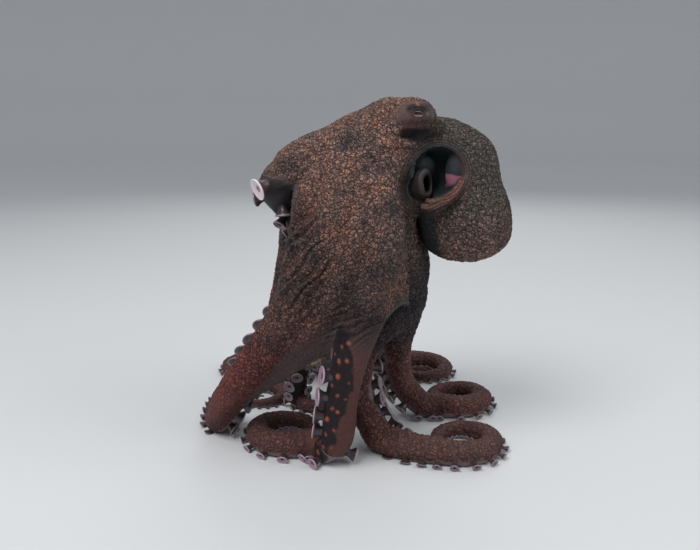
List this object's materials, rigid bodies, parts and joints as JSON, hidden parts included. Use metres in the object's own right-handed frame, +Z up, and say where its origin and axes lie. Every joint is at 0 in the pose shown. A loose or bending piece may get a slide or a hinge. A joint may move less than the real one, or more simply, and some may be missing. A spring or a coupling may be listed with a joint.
{
  "type": "octopus model",
  "caption": "Life-size octopus standing high on its spread arms with its mantle hanging to one side.",
  "frame": {"origin": "centre of the bounding box at the floor the arms rest on", "axes": "+Z up, the octopus shows its left side towards -Y, its mantle hangs on the +X side and its arms reach back along +Y"},
  "size_m": [0.3364, 0.3753, 0.3472],
  "materials": {
    "skin": "satin, finely granular, reddish brown over grey",
    "web_skin": "satin, finely granular, brown grey",
    "funnel_skin": "smooth satin, dark grey",
    "eye": "wet gloss, reddish with a dark slit pupil"
  },
  "bodies": {
    "root": {"arm_l1_base": "skin", "arm_l1_mid": "skin", "arm_l1_tip": "skin", "arm_l2_base": "skin", "arm_l2_mid": "skin", "arm_l2_tip": "skin", "arm_l3_base": "skin", "arm_l3_mid": "skin", "arm_l3_tip": "skin", "arm_l4_base": "skin", "arm_l4_mid": "skin", "arm_l4_tip": "skin", "arm_r1_base": "skin", "arm_r1_mid": "skin", "arm_r1_tip": "skin", "arm_r2_base": "skin", "arm_r2_mid": "skin", "arm_r2_tip": "skin", "arm_r3_base": "skin", "arm_r3_mid": "skin", "arm_r3_tip": "skin", "arm_r4_base": "skin", "arm_r4_mid": "skin", "arm_r4_tip": "skin", "web_l1_l2": "web_skin", "web_l2_l3": "web_skin", "web_l3_l4": "web_skin", "web_l4_r4": "web_skin", "web_r4_r3": "web_skin", "web_r3_r2": "web_skin", "web_r2_r1": "web_skin", "web_r1_l1": "web_skin", "head": "skin", "mantle": "skin", "funnel": "funnel_skin", "eye_left": "eye", "eye_right": "eye"}
  },
  "joints": []
}
